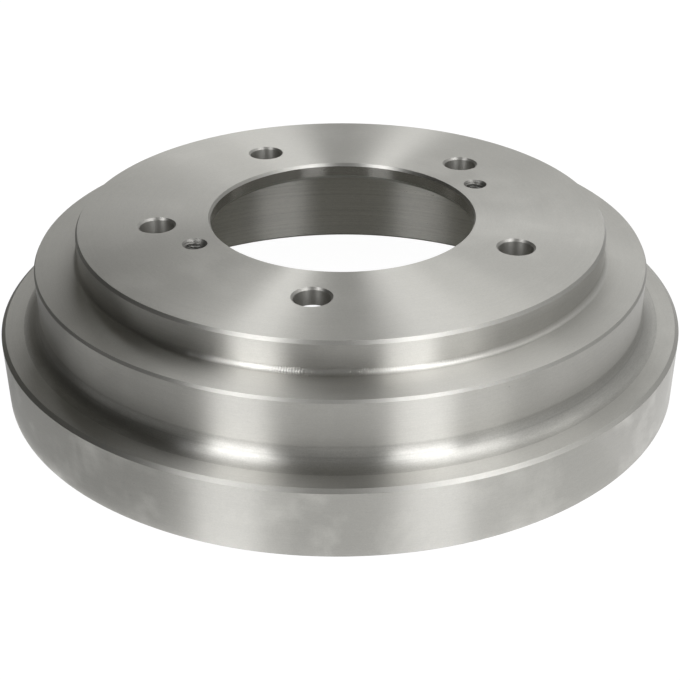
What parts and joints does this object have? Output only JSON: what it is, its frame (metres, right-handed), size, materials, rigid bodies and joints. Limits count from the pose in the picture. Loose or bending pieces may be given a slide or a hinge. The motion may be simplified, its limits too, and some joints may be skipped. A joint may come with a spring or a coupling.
{
  "type": "brake drum",
  "caption": "Stepped, machined brake drum with a large hub bore, a ring of stud holes, jacking threads and a grooved rim.",
  "frame": {"origin": "centre of the open mouth's rim, on the axle's axis", "axes": "+Z along the axle, from the open mouth towards the wheel face; the stud holes are placed about Z as in the picture, whose camera stands on the -Y side"},
  "size_m": [0.26, 0.26, 0.0607],
  "materials": {
    "machined_iron": "fine turned"
  },
  "bodies": {
    "root": {"brake_drum": "machined_iron"}
  },
  "joints": []
}
